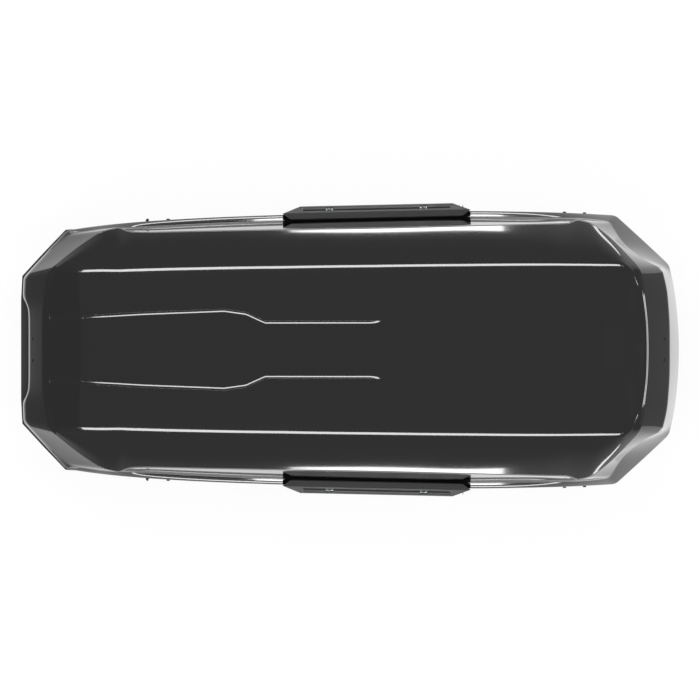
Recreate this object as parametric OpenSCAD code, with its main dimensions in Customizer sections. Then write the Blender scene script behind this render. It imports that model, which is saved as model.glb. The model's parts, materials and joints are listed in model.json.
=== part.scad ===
// Roof cargo box with a lid that opens from either side.
// Nose towards -X, left side towards -Y, up is +Z.
// The origin lies midway between the roof bars, on the plane where the box rests on them.

/* [Shell] */
// Length of the lid from nose to tail
lid_len = 2100; // [1900:10:2300]
// Width of the lid at its widest place, without the handles
lid_w = 890; // [840:5:960]
// Height of the hinge axes above the roof bars
rim_z = 162; // [150:1:200]
// Height of the lid above the hinge axes, at its crown
lid_h = 282; // [250:1:320]
// Wall of the thermoformed lid and base
wall = 3.5; // [3:0.5:5]
// Height of the raised spine between the two ridges on the lid
ridge_h = 5; // [3:0.5:8]

/* [Hinges and latches] */
// Distance of each hinge axis inside the lid's widest edge
hinge_inset = 49; // [45:1:56]
// Radius of the hinge pins
pin_r = 3.5; // [3:0.25:4]
// Outer radius of the hinge knuckles
knuckle_r = 8; // [7:0.5:9]
// Length of the middle knuckle at each hinge station
knuckle_len = 40; // [30:1:50]
// Width of the hinge rail, across the box
rail_w = 24; // [22:1:28]
// Length of the keeper that slides under each striker
keeper_len = 20; // [16:1:20]
// Travel of the lock bar
lock_travel = 24; // [22:0.5:26]
// Radius of the lock barrel
barrel_r = 9; // [8:0.25:9.5]

/* [Lid lifters] */
// Pivot of the lifter arm, inboard of the hinge axis
lifter_in = 70; // [66:1:74]
// Pivot of the lifter arm, above the hinge axis
lifter_up = 26; // [24:1:30]
// Angle between the arm and the line from the axis to its pivot, with the lid closed
lifter_fold = 54; // [50:1:56]
// Widest angle that the lid opens to
open_angle = 48; // [40:1:50]
// Radius of the roller that runs in the lid's slot
roller_r = 6; // [5:0.5:7]

/* [Handles] */
// Length of the handle housing
handle_len = 600; // [500:5:640]
// Length of the part of the handle that is pulled
grip_len = 470; // [400:5:480]
// How far the handle stands out from the lid's edge
handle_out = 23; // [21:0.5:30]

/* [Roof bar clamps] */
// Distance between the two roof bars
bar_spacing = 700; // [600:10:800]
// Distance of each clamp from the box's centre line
clamp_y = 250; // [220:5:270]
// Travel of a clamp along its slot, either way
clamp_travel = 80; // [40:5:90]
// Widest roof bar that the claws go round
bar_w = 90; // [70:1:95]
// Thickest roof bar that the claws go round
bar_h = 29; // [25:1:35]
// Travel of each claw
claw_travel = 22; // [15:1:24]
// Radius of the clamp's knob
knob_r = 30; // [25:1:32]
// Thickness of the rubber pads that rest on the roof bars
pad_t = 4; // [3:0.5:6]

/* [Fasteners] */
// Radius of a rivet's head
rivet_head_r = 6; // [5:0.5:7]
// Radius of a rivet's shank
rivet_r = 2.5; // [2:0.25:3]

/* [Hidden] */
$fn = 48;

// Running gap between pieces that move, gap at a fixed seat, and a pin's radial clearance
gap = 0.3;
seat = 0.1;
fit = 0.06;
// Length of a drill that goes right through a wall
through = 100;

// The outlines below are drawn at these sizes and follow the driving dimensions
drawn_len = 2100;
drawn_w = 890;
drawn_h = 282;
kx = lid_len / drawn_len;
ky = lid_w / drawn_w;
kz = lid_h / drawn_h;

// Half outlines of the lid, from the nose's centre round the left or right side to the tail's
// centre: [x, y, height above the hinge axes]. Each row of the lid has the same 22 stations.
skirt_low = -14;
skirt_top = 16;
EDGE = [[-1029, 0], [-1029, 100], [-1031, 133], [-1046, 169], [-1043, 232], [-975, 306],
    [-905, 382], [-800, 398], [-660, 411], [-463, 423], [-216, 432], [84, 439], [384, 445],
    [600, 441], [730, 437], [847, 430], [935, 350], [1018, 272], [1036, 193], [1046, 102],
    [1049, 50], [1050, 0]];
FLARE = [[-1022, 0, 38], [-1022, 99, 38], [-1024, 131, 38], [-1037, 166, 38], [-1033, 233, 38],
    [-966, 304, 34], [-893, 370, 30], [-784, 386, 34], [-660, 388, 34], [-463, 399, 34],
    [-216, 408, 34], [84, 415, 34], [384, 421, 34], [600, 417, 34], [728, 418, 38],
    [826, 408, 60], [868, 335, 110], [960, 274, 155], [1006, 190, 168], [1013, 101, 171],
    [1014, 50, 172], [1014, 0, 172]];
SHOULDER = [[-979, 0, 112], [-979, 94, 112], [-977, 130, 110], [-972, 178, 110],
    [-958, 250, 115], [-865, 328, 110], [-788, 379, 104], [-735, 391, 100], [-660, 375, 128],
    [-463, 378, 152], [-216, 382, 172], [84, 386, 184], [384, 394, 188], [600, 400, 180],
    [708, 408, 165], [766, 404, 165], [837, 346, 192], [905, 272, 228], [931, 190, 247],
    [942, 98, 250], [944, 50, 250], [945, 0, 250]];
CREASE = [[-962, 0, 117], [-962, 90, 117], [-960, 126, 115], [-955, 174, 115], [-934, 244, 124],
    [-861, 252, 150], [-790, 255, 168], [-735, 256, 180], [-660, 258, 193], [-463, 262, 216],
    [-216, 266, 240], [84, 270, 255], [384, 273, 262], [600, 275, 262], [708, 275, 259],
    [800, 274, 254], [866, 273, 250], [896, 250, 249], [914, 188, 249], [928, 98, 251],
    [930, 50, 251], [931, 0, 251]];
// How far the top rises from its side creases to the centre line
crown = 20;
// Half distance between the ridges, and where they fade out, along the lid
RIDGE = [[-1000, 98], [-662, 116], [-400, 126], [-330, 116], [-270, 88], [110, 88], [960, 98]];
RIDGE_FADE = [[-1000, 0], [-962, 1], [60, 1], [110, 0], [960, 0]];
ridge_slope_w = 10;

function at(p, i) = [kx * p[i][0], ky * p[i][1], kz * p[i][2]];
function edge_point(i, z, inset) =
    let (e = EDGE[i], n = outward(i))
    [kx * e[0] - inset * n[0], ky * e[1] - inset * n[1], z];
// Outward direction of the lid's edge at a station
function outward(i) =
    i == 0 ? [-1, 0] : i == len(EDGE) - 1 ? [1, 0] :
    let (d = [EDGE[i + 1][0] - EDGE[i - 1][0], EDGE[i + 1][1] - EDGE[i - 1][1]])
    [-d[1], d[0]] / norm(d);

// Half outline of the base's rim and how far its lower rings lie inside it
RIM = [[-1051, 0], [-1051, 160], [-1047, 236], [-978, 311], [-909, 383], [-860, 388],
    [-720, 388], [-300, 388], [300, 388], [760, 388], [868, 386], [940, 328], [1008, 262],
    [1026, 190], [1038, 0]];
FLOOR = [[-800, 0], [-800, 130], [-796, 180], [-780, 250], [-750, 300], [-720, 322],
    [-640, 332], [-300, 336], [300, 336], [700, 336], [780, 330], [850, 290], [890, 240],
    [905, 170], [910, 0]];
rim_gap = 2;
rim_v = skirt_low - rim_gap;
flange_w = 50;
floor_z = pad_t;
floor_top = floor_z + wall;

// Places along the box
hinge_x = [-613, 85, 715.5];
rivet_x = 32;
striker_x = [-545, 20, 640];
lifter_x = [-380, 520];
handle_x = 84;
stiffener_x = [-440, 100, 450];
stiffener_w = 40;
stiffener_reach = 240;
stiffener_low = 14;
stiffener_high = 0.6;

hinge_y = lid_w / 2 - hinge_inset;
handle_angle = atan2(ky * (EDGE[12][1] - EDGE[10][1]), kx * (EDGE[12][0] - EDGE[10][0]));

// ---------- helpers ----------

// Half width of the lid's edge at x
SIDE = [6, 7, 8, 9, 10, 11, 12, 13, 14, 15];
function edge_y(x) = lookup(x, [for (i = SIDE) [kx * EDGE[i][0], ky * EDGE[i][1]]]);
// Width and height of one of the lid's long creases at x
function crease_y(row, x) = lookup(x, [for (i = SIDE) [kx * row[i][0], ky * row[i][1]]]);
function crease_v(row, x) = lookup(x, [for (i = SIDE) [kx * row[i][0], kz * row[i][2]]]);
function ridge_y(x) = ky * lookup(x / kx, RIDGE);
function ridge_rise(x) = ridge_h * lookup(x / kx, RIDGE_FADE);
// Height of the lid's top at x, for a point at y inside the side creases
function top_v(x, y) =
    let (a = crease_v(CREASE, x), w = crease_y(CREASE, x))
    a + crown * (1 - abs(y) / w);
// Height of the inside of the lid's shoulder, y from the centre line
function shoulder_under(x, y) =
    let (yb = crease_y(SHOULDER, x), zb = crease_v(SHOULDER, x),
        ya = crease_y(CREASE, x), za = crease_v(CREASE, x),
        slope = (za - zb) / (yb - ya))
    zb + (yb - y) * slope - wall * sqrt(1 + slope * slope);

// Mirrors a right-hand piece to the left side
module on_side(s) {
    if (s > 0) children();
    else mirror([0, 1, 0]) children();
}
// Extrudes a drawing in Y and Z along X
module along_x(x, length) {
    translate([x, 0, 0]) rotate([90, 0, 90]) linear_extrude(length) children();
}
module rod_x(x, length, r) {
    translate([x, 0, 0]) rotate([0, 90, 0]) cylinder(r = r, h = length);
}
module block(x, y, z) {
    translate([x[0], y[0], z[0]]) cube([x[1] - x[0], y[1] - y[0], z[1] - z[0]]);
}
// Turns a right-hand drawing so that its x runs inboard from the hinge axis
module at_hinge() {
    translate([0, hinge_y, rim_z]) mirror([0, 1, 0]) children();
}

// Average normal of the faces that meet at point i
function face_normal(p, f) = cross(p[f[1]] - p[f[0]], p[f[2]] - p[f[0]]);
function sum(v, i = 0) = i == len(v) - 1 ? v[i] : v[i] + sum(v, i + 1);
function unit(v) = v / max(norm(v), 1e-9);
function point_normal(p, faces, i) =
    unit(sum([for (f = faces) if (f[0] == i || f[1] == i || f[2] == i) unit(face_normal(p, f))]));

// A shell: the outer skin, the same skin moved inwards, and the edge between them.
// The first open_count points are the open edge, in order, and keep their height.
module shell(points, faces, open_count, thickness, keep_height) {
    n = len(points);
    inner = [for (i = [0:n - 1])
        let (m = point_normal(points, faces, i),
            d = i < open_count && keep_height ? unit([m[0], m[1], 0]) : m)
        points[i] + thickness * d];
    edge = [for (i = [0:open_count - 1])
        let (j = (i + 1) % open_count) each [[i, n + i, j], [j, n + i, n + j]]];
    back = [for (f = faces) [n + f[2], n + f[1], n + f[0]]];
    polyhedron(concat(points, inner), concat(faces, back, edge));
}

// Joins two rings of the same number of points with triangles, alike on both sides
function band(a, b, count) = [for (i = [0:count - 1]) let (j = (i + 1) % count) each
    i < count / 2 ? [[a + i, a + j, b + i], [a + j, b + j, b + i]]
    : [[a + i, b + j, b + i], [a + i, a + j, b + j]]];

// ---------- lid ----------

half = len(EDGE);
ring = 2 * half - 2;
// A full ring: down the right side from nose to tail, then back up the left side
function full_ring(h) = concat(h, [for (i = [len(h) - 2:-1:1]) [h[i][0], -h[i][1], h[i][2]]]);
function other(i) = (ring - i) % ring;

lid_rings = [
    full_ring([for (i = [0:half - 1]) edge_point(i, skirt_low, 0)]),
    full_ring([for (i = [0:half - 1]) edge_point(i, skirt_top, 1.5)]),
    full_ring([for (i = [0:half - 1]) at(FLARE, i)]),
    full_ring([for (i = [0:half - 1]) at(SHOULDER, i)]),
    full_ring([for (i = [0:half - 1]) at(CREASE, i)])
];
// Rows across the top, one at each side station: right foot and crest of the ridge, the
// centre, and the left crest and foot
top_from = 5;
top_to = 16;
function top_row(i) =
    let (x = kx * CREASE[i][0], c = ridge_y(x), d = c - ridge_slope_w, r = ridge_rise(x))
    [[x, c, top_v(x, c)], [x, d, top_v(x, d) + r], [x, 0, top_v(x, 0) + r],
        [x, -d, top_v(x, d) + r], [x, -c, top_v(x, c)]];
lid_points = concat([for (r = lid_rings) each r], [for (i = [top_from:top_to]) each top_row(i)]);
top_ring = 4 * ring;
top_grid = 5 * ring;
function g(i, k) = top_grid + 5 * (i - top_from) + k;
function t(i) = top_ring + i;
function quad(a, b, c, d) = [[a, c, b], [a, d, c]];
// The same, cut along its other diagonal, for the left side
function quad_left(a, b, c, d) = [[a, d, b], [b, d, c]];
top_faces = concat(
    // the strips between the rows
    [for (i = [top_from:top_to - 1]) each concat(
        [for (k = [0:1]) each quad(g(i, k), g(i, k + 1), g(i + 1, k + 1), g(i + 1, k))],
        [for (k = [2:3]) each quad_left(g(i, k), g(i, k + 1), g(i + 1, k + 1), g(i + 1, k))],
        quad(t(i), g(i, 0), g(i + 1, 0), t(i + 1)),
        quad_left(g(i, 4), t(other(i)), t(other(i + 1)), g(i + 1, 4)))],
    // the nose
    [for (q = [quad(t(0), g(top_from, 2), g(top_from, 1), t(1)),
        quad(t(1), g(top_from, 1), g(top_from, 0), t(2)),
        quad_left(g(top_from, 2), t(0), t(other(1)), g(top_from, 3)),
        quad_left(g(top_from, 3), t(other(1)), t(other(2)), g(top_from, 4))]) each q],
    [for (i = [2:top_from - 1]) each [[g(top_from, 0), t(i), t(i + 1)],
        [g(top_from, 4), t(other(i + 1)), t(other(i))]]],
    // the tail
    [for (q = [quad(t(half - 2), g(top_to, 1), g(top_to, 2), t(half - 1)),
        quad(t(half - 3), g(top_to, 0), g(top_to, 1), t(half - 2)),
        quad_left(g(top_to, 2), g(top_to, 3), t(other(half - 2)), t(half - 1)),
        quad_left(g(top_to, 3), g(top_to, 4), t(other(half - 3)), t(other(half - 2)))]) each q],
    [for (i = [top_to:half - 4]) each [[g(top_to, 0), t(i), t(i + 1)],
        [g(top_to, 4), t(other(i + 1)), t(other(i))]]]
);
lid_faces = concat([for (r = [0:3]) each band(r * ring, (r + 1) * ring, ring)], top_faces);

module lid_shell() {
    color("#2b2b2d") difference() {
        translate([0, 0, rim_z]) shell(lid_points, lid_faces, ring, wall, true);
        for (s = [-1, 1]) on_side(s) {
            side_rivet_holes();
            in_handle_frame() lock_hole();
        }
        end_rivets(rivet_r + gap, 20);
    }
}

// A bowed strip under the lid's top
module stiffener(x) {
    function rib_row(px, drop) =
        let (w = ky * stiffener_reach, c = ridge_y(px), v = wall + drop)
        [for (y = [w, c, 0, -c, -w]) [px, y, rim_z + top_v(px, y) - v]];
    function rib_ring(px) =
        concat(rib_row(px, stiffener_high), [for (i = [4:-1:0]) rib_row(px, stiffener_low)[i]]);
    a = rib_ring(x);
    b = rib_ring(x + stiffener_w);
    n = len(a);
    color("#4a4a4c") polyhedron(concat(a, b), concat(
        [for (i = [0:n - 1]) let (j = (i + 1) % n) each [[i, n + i, j], [j, n + i, n + j]]],
        [for (i = [0:3]) each [[i, i + 1, n - 1 - i], [i + 1, n - 2 - i, n - 1 - i]]],
        [for (i = [0:3]) each [[n + i, 2 * n - 1 - i, n + i + 1],
            [n + i + 1, 2 * n - 1 - i, 2 * n - 2 - i]]]));
}

// Share of the way up the end faces at which their rivets sit
end_rivet_share = 0.25;
// Places a drawing on the sloping end face: z along the outward normal
nose_low = at(FLARE, 0);
nose_high = at(SHOULDER, 0);
tail_low = at(FLARE, half - 1);
tail_high = at(SHOULDER, half - 1);
module on_end(low, high) {
    mid = low + (high - low) * end_rivet_share;
    dir = low[0] < 0 ? 1 : -1;
    lean = atan2(abs(high[0] - low[0]), high[2] - low[2]);
    translate([mid[0], 0, mid[2] + rim_z]) rotate([0, -dir * (90 - lean), 0]) children();
}
end_rivet_y = 34;
module end_rivets(r, depth) {
    for (y = [-end_rivet_y, end_rivet_y]) {
        on_end(nose_low, nose_high) translate([0, y, -depth]) cylinder(r = r, h = depth + 5);
        on_end(tail_low, tail_high) translate([0, y, -depth]) cylinder(r = r, h = depth + 5);
    }
}
bracket_t = 4;
bracket_gap = 1.1;
bracket_w = 130;
nose_bracket_h = 34;
tail_bracket_h = 40;
module end_bracket(low, high, h) {
    color("#3a3a3c") difference() {
        on_end(low, high) translate([-h / 2, -bracket_w / 2, -wall - bracket_t - bracket_gap])
            cube([h, bracket_w, bracket_t]);
        end_rivets(rivet_r + gap, 20);
    }
}
module nose_bracket() { end_bracket(nose_low, nose_high, nose_bracket_h); }
module tail_bracket() { end_bracket(tail_low, tail_high, tail_bracket_h); }

// ---------- hinges ----------

boss_len = 20;
boss_x = knuckle_len / 2 + 2;
module side_rivet_holes() {
    for (x = hinge_x) for (d = [-rivet_x, rivet_x])
        translate([x + d, hinge_y + knuckle_r, rim_z]) rotate([-90, 0, 0])
            cylinder(r = rivet_r + gap, h = through);
}
module hinge_bosses(s) {
    color("#3a3a3c") on_side(s) difference() {
        for (x = hinge_x) for (d = [-1, 1]) {
            from = d > 0 ? x + boss_x : x - boss_x - boss_len;
            depth = min(edge_y(from), edge_y(from + boss_len)) - 2 - wall - seat - 0.5 - hinge_y;
            at_hinge() difference() {
                union() {
                    rod_x(from, boss_len, knuckle_r);
                    block([from, from + boss_len], [-depth, 0], [-knuckle_r, knuckle_r]);
                }
                rod_x(from - 1, boss_len + 2, pin_r + fit);
            }
        }
        side_rivet_holes();
    }
}

// Rivets through the lid's skirt into the hinge bosses, and through its ends
rivet_head_h = 2.5;
module lid_rivets() {
    color("#101011") {
        for (s = [-1, 1]) on_side(s) for (x = hinge_x) for (d = [-rivet_x, rivet_x]) {
            y = edge_y(x + d) + 0.4;
            deep = y - hinge_y - knuckle_r - 2;
            if (x != hinge_x[1])
                translate([x + d, y - deep, rim_z]) rotate([-90, 0, 0]) {
                    cylinder(r = rivet_r, h = deep + 0.5);
                    translate([0, 0, deep]) cylinder(r = rivet_head_r, h = rivet_head_h);
                }
            else
                translate([x + d, hinge_y + knuckle_r + 2, rim_z]) rotate([-90, 0, 0])
                    cylinder(r = rivet_r, h = edge_y(x + d) - 3 - hinge_y - knuckle_r);
        }
        for (y = [-end_rivet_y, end_rivet_y]) {
            on_end(nose_low, nose_high) translate([0, y, 0]) end_rivet();
            on_end(tail_low, tail_high) translate([0, y, 0]) end_rivet();
        }
    }
}
module end_rivet() {
    reach = wall + bracket_t + 3;
    translate([0, 0, -reach]) cylinder(r = rivet_r, h = reach + 1);
    translate([0, 0, 0.3]) cylinder(r = rivet_head_r, h = rivet_head_h);
}

rail_x = [-690, 790];
rail_in = knuckle_r + 2;
rail_low = rim_v + gap;
rail_top = 16;
rail_wall = 2.5;
slot_in = rail_in + rail_w - 6.5;
module hinge_rail(s) {
    color("#1d1d1f") on_side(s) at_hinge() {
        difference() {
            union() {
                along_x(rail_x[0], rail_x[1] - rail_x[0]) difference() {
                    translate([rail_in, rail_low]) square([rail_w, rail_top - rail_low]);
                    translate([slot_in, -9]) square([4, 18]);
                    translate([rail_in + rail_wall, rail_low + rail_wall])
                        square([slot_in - rail_in - 2 * rail_wall, rail_top - rail_low - 2 * rail_wall]);
                    translate([slot_in + 3.9, -6]) square([3, 12]);
                }
                for (x = hinge_x) {
                    rod_x(x - knuckle_len / 2, knuckle_len, knuckle_r);
                    block([x - knuckle_len / 2, x + knuckle_len / 2], [0, rail_in + 1], [-6, 6]);
                }
            }
            for (x = hinge_x) rod_x(x - knuckle_len, 2 * knuckle_len, pin_r + fit);
        }
    }
}

// Hinge pins, and the pins that the lifter arms turn on
module rail_pins(s) {
    color("#b8bbc0") on_side(s) at_hinge() {
        for (x = hinge_x) {
            length = 2 * (boss_x + boss_len) - 4;
            rod_x(x - length / 2, length, pin_r);
        }
        for (x = lifter_x) translate([0, lifter_in, lifter_up])
            rod_x(x - spring_room - ear_t - arm_t - 1, spring_room + ear_t + arm_t + 0.4, lifter_pin_r);
    }
}

// ---------- lid lifters ----------
// The arm is as long as its pivot lies from the hinge axis, and it turns twice as far as the
// lid, so its roller follows a straight slot that points at the axis.

lifter_pin_r = 4;
arm_t = 7.5;
ear_t = 5;
plate_t = 4;
spring_room = 18;
arm_len = norm([lifter_in, lifter_up]);
pivot_angle = atan2(lifter_up, lifter_in);
arm_angle = pivot_angle + lifter_fold;
slot_angle = (pivot_angle + arm_angle) / 2;
slot_far = 2 * arm_len * cos(lifter_fold / 2);
slot_near = 2 * arm_len * cos(lifter_fold / 2 + open_angle);

module lifter_mounts(s) {
    color("#26262a") on_side(s) at_hinge() for (x = lifter_x) difference() {
        union() {
            along_x(x - arm_t - ear_t - 1, ear_t) {
                polygon([[rail_in + 2, rail_top + seat], [rail_in + rail_w, rail_top + seat],
                    [lifter_in + 1, lifter_up - 9], [lifter_in - 1, lifter_up + 9],
                    [rail_in + 2, rail_top + 12]]);
                translate([lifter_in, lifter_up]) circle(r = 9);
            }
            block([x - arm_t - ear_t - 1 - 24, x - arm_t - ear_t], [rail_in + 2, rail_in + rail_w],
                [rail_top + seat, rail_top + seat + 4]);
        }
        translate([0, lifter_in, lifter_up])
            rod_x(x - 40, 60, lifter_pin_r + fit);
    }
}
module lifter_springs(s) {
    wire = 1.4;
    color("#9a9da2") on_side(s) at_hinge() for (x = lifter_x)
        translate([x - arm_t - ear_t - 1.4 - wire, lifter_in, lifter_up]) rotate([0, -90, 0]) {
            for (i = [0:4]) translate([0, 0, i * 2.6 * wire / 1.4]) rotate_extrude()
                translate([lifter_pin_r + 0.3 + wire, 0]) circle(r = wire, $fn = 16);
        }
}
module lifter_arms(s) {
    color("#2f3033") on_side(s) at_hinge() for (x = lifter_x) translate([0, lifter_in, lifter_up])
        rotate([arm_angle, 0, 0]) difference() {
            union() {
                block([x - arm_t - 0.5, x - 0.5], [0, arm_len], [-6, 6]);
                rod_x(x - arm_t - 0.5, arm_t, 9);
                translate([0, arm_len, 0]) rod_x(x - arm_t - 0.5, arm_t, 8);
            }
            rod_x(x - 20, 40, lifter_pin_r + fit);
            translate([0, arm_len, 0]) rod_x(x - 20, 40, 3 + fit);
        }
}
module lifter_rollers(s) {
    color("#d8d8d4") on_side(s) at_hinge() for (x = lifter_x) translate([0, lifter_in, lifter_up])
        rotate([arm_angle, 0, 0]) translate([0, arm_len, 0]) {
            rod_x(x - arm_t - 0.4, arm_t + 0.6, 3);
            rod_x(x - 0.2, plate_t + 0.6, roller_r);
        }
}
// A slot's outline: two half rounds of radius r about a and b
function stadium(a, b, r) =
    let (turn = atan2(b[1] - a[1], b[0] - a[0]), step = 15)
    concat([for (w = [90:step:270]) a + r * [cos(turn + w), sin(turn + w)]],
        [for (w = [-90:step:90]) b + r * [cos(turn + w), sin(turn + w)]]);
// Plates hanging from the lid's shoulder with the rollers' slots
module slot_plates(s) {
    r = roller_r + gap;
    rim = r + 5;
    color("#3a3a3c") on_side(s) at_hinge() for (x = lifter_x) {
        dir = [cos(slot_angle), sin(slot_angle)];
        low = slot_near * dir;
        high = slot_far * dir;
        u1 = 50;
        u2 = 100;
        v1 = min(shoulder_under(x, hinge_y - u1), shoulder_under(x + plate_t, hinge_y - u1)) - 1.3;
        v2 = min(shoulder_under(x, hinge_y - u2), shoulder_under(x + plate_t, hinge_y - u2)) - 1.3;
        along_x(x, plate_t) difference() {
            union() {
                polygon(stadium(low, high, rim));
                polygon([high + [-26, -4], high + [11, 0], [u2, v2], [u1, v1]]);
            }
            polygon(stadium(low, high, r));
        }
    }
}

// ---------- locks ----------

bar_t = 3.2;
lock_in = slot_in + 0.4;
keeper_v = rim_v + 4;
fork_in = -26;
cam_r = lock_travel / 2 / sin(45);
cam_pin_r = 2.5;
lock_local = handle_len / 2 - 34;
lock_skin = edge_y(handle_x) + 0.4 + lock_local * sin(handle_angle) - hinge_y;
cam_out = 1 - fork_in;
// Distance of the cam's plane inside the handle's back, and its place along the box
cam_deep = (lock_skin - cam_out) / cos(handle_angle);
lock_x = handle_x + lock_local * cos(handle_angle) + cam_deep * sin(handle_angle);
module lock_bar(s) {
    reach = rail_in + rail_w;
    color("#c9ccd0") on_side(s) at_hinge() {
        block([rail_x[0] + 30, rail_x[1] - 30], [lock_in, lock_in + bar_t], [-8.6, 8.6]);
        for (x = striker_x) translate([x + lock_travel, 0, 0]) {
            a = keeper_len / 2;
            block([-a, a], [lock_in + bar_t - 1, reach + 8], [-5.6, 5.6]);
            block([-a, a], [reach + 4, reach + 8], [keeper_v, 5.6]);
            block([-a, a], [reach + 4, reach + 20], [keeper_v, keeper_v + 3]);
        }
        // the fork that the lock's cam pushes, over the top of the rail
        translate([lock_x + lock_travel / 2, 0, 0]) {
            block([-10, 10], [lock_in + bar_t - 1, reach + 8], [-5.6, 5.6]);
            block([-10, 10], [reach + 4, reach + 8], [-5.6, rail_top + 9]);
            block([-10, 10], [fork_in, reach + 8], [rail_top + 5, rail_top + 9]);
            for (d = [-1, 1]) {
                near = cam_pin_r + 0.8;
                x = d > 0 ? [near, near + 4] : [-near - 4, -near];
                block(x, [fork_in, fork_in + 8], [cam_r * cos(45) - 5, rail_top + 6]);
            }
        }
    }
}
module strikers(s) {
    reach = rail_in + rail_w;
    color("#a9acb1") on_side(s) at_hinge() for (x = striker_x) {
        a = keeper_len / 2;
        block([x - a, x + a], [reach + 10, reach + 24], [rim_v + seat, rim_v + 3]);
        block([x - a, x + a], [reach + 21, reach + 24], [rim_v + seat, keeper_v + 7]);
        block([x - a, x + a], [reach + 9, reach + 24], [keeper_v + 4, keeper_v + 7]);
    }
}

// ---------- handles ----------
// Drawn with x along the lid's edge, y outwards from the skirt, z up from the hinge axes

module in_handle_frame() {
    translate([handle_x, edge_y(handle_x) + 0.4, rim_z]) rotate([0, 0, handle_angle]) children();
}
flare_drop = edge_y(handle_x) - ky * FLARE[11][1];
flare_up = kz * FLARE[11][2];
housing_low = -16;
housing_top = 37;
pin_out = 11;
pin_up = 23;
back_t = 3;
grip_t = 7.5;
grip_pin_r = 2.5;
grip_low = -18;
// Top of the pocket that the grip turns in
pocket_top = pin_up + 8;
// How far the housing reaches inwards over the flare
shelf = 20;
module handle_profile() {
    flare_slope = (flare_up - skirt_top) / (flare_drop - 1.5);
    polygon([[0, housing_low], [0, skirt_top - 0.6], [-1.9, skirt_top + 1],
        [-shelf, skirt_top + 1 + (shelf - 1.9) * flare_slope], [-shelf, housing_top - 2],
        [-shelf + 3, housing_top], [2, housing_top - 1], [handle_out - 5, 22], [handle_out, 12],
        [handle_out, -6], [handle_out - 5, housing_low]]);
}
module handle_plan() {
    outer = handle_len / 2 - 60;
    inner = handle_len / 2 - 30;
    polygon([[-inner, -shelf - 1], [inner, -shelf - 1], [handle_len / 2, 0.5],
        [outer, handle_out + 1], [-outer, handle_out + 1], [-handle_len / 2, 0.5]]);
}
module handle_body() {
    intersection() {
        along_x(-handle_len / 2, handle_len) handle_profile();
        translate([0, 0, housing_low - 5]) linear_extrude(housing_top - housing_low + 20) handle_plan();
    }
}
module lock_hole() {
    translate([lock_local, -30, 0]) rotate([-90, 0, 0]) cylinder(r = barrel_r + 3 + gap, h = 60);
}
module handle_housing(s) {
    color("#151517") on_side(s) in_handle_frame() difference() {
        handle_body();
        block([-grip_len / 2, grip_len / 2], [back_t, handle_out + 5], [housing_low - 5, pocket_top]);
        translate([0, pin_out, pin_up]) rod_x(-grip_len / 2 - 10, grip_len + 20, grip_pin_r + fit);
        lock_hole();
    }
}
module grip_profile() {
    difference() {
        polygon([[handle_out - grip_t, grip_low], [handle_out - grip_t, pin_up - 9],
            [pin_out - 5, pin_up - 5], [pin_out - 5, pin_up + 2], [pin_out - 2, pin_up + 5],
            [pin_out + 2, pin_up + 5], [handle_out - 4, pin_up], [handle_out, 12],
            [handle_out, -8], [handle_out - 4, grip_low]]);
        translate([pin_out, pin_up]) circle(r = grip_pin_r + fit);
    }
}
spring_len = 22;
spring_places = [-150, 150];
module handle_grip(s) {
    color("#1a1a1c") on_side(s) in_handle_frame() difference() {
        along_x(-grip_len / 2 + gap, grip_len - 2 * gap) grip_profile();
        for (x = spring_places)
            block([x - spring_len / 2, x + spring_len / 2], [0, pin_out + 6], [pin_up - 6, pin_up + 12]);
    }
}
module handle_pin(s) {
    color("#b8bbc0") on_side(s) in_handle_frame() translate([0, pin_out, pin_up])
        rod_x(-grip_len / 2 - 9, grip_len + 18, grip_pin_r);
}
module handle_springs(s) {
    wire = 1.2;
    color("#9a9da2") on_side(s) in_handle_frame() for (x = spring_places)
        for (i = [-3:3]) translate([x + i * 2.3, pin_out, pin_up]) rotate([0, 90, 0]) rotate_extrude()
            translate([grip_pin_r + gap + wire, 0]) circle(r = wire, $fn = 16);
}
sleeve_out = 15;
sleeve_in = -12;
module lock_sleeve(s) {
    color("#8d9096") on_side(s) in_handle_frame() translate([lock_local, sleeve_in, 0])
        rotate([-90, 0, 0]) difference() {
            cylinder(r = barrel_r + 3, h = sleeve_out - sleeve_in);
            translate([0, 0, -1]) cylinder(r = barrel_r + fit, h = sleeve_out - sleeve_in + 2);
        }
}
// The barrel with its cam; the cam's pin stands in the lock bar's fork
module lock_barrel(s) {
    long = sleeve_out + 1 + cam_deep;
    color("#d2d4d8") on_side(s) in_handle_frame() translate([lock_local, -cam_deep, 0]) {
        difference() {
            rotate([-90, 0, 0]) cylinder(r = barrel_r, h = long);
            block([-1, 1], [long - 6, long + 1], [-5, 5]);
        }
        rotate([0, 45, 0]) {
            block([-5, 5], [0, 3], [0, cam_r]);
            translate([0, 0, cam_r]) rotate([-90, 0, 0]) cylinder(r = 5, h = 3);
            translate([0, -8, cam_r]) rotate([-90, 0, 0]) cylinder(r = cam_pin_r, h = 9);
        }
    }
}

// ---------- base ----------

base_half = len(RIM);
base_ring = 2 * base_half - 2;
function rim_point(i) = [kx * RIM[i][0], ky * RIM[i][1]];
// A point a distance towards the middle of the box from the rim
function inwards(i, d) =
    let (p = rim_point(i), q = [kx * FLOOR[i][0], ky * FLOOR[i][1]])
    i < 7 || i > 8 ? p + d * unit(q - p) : p - [0, d];
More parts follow.
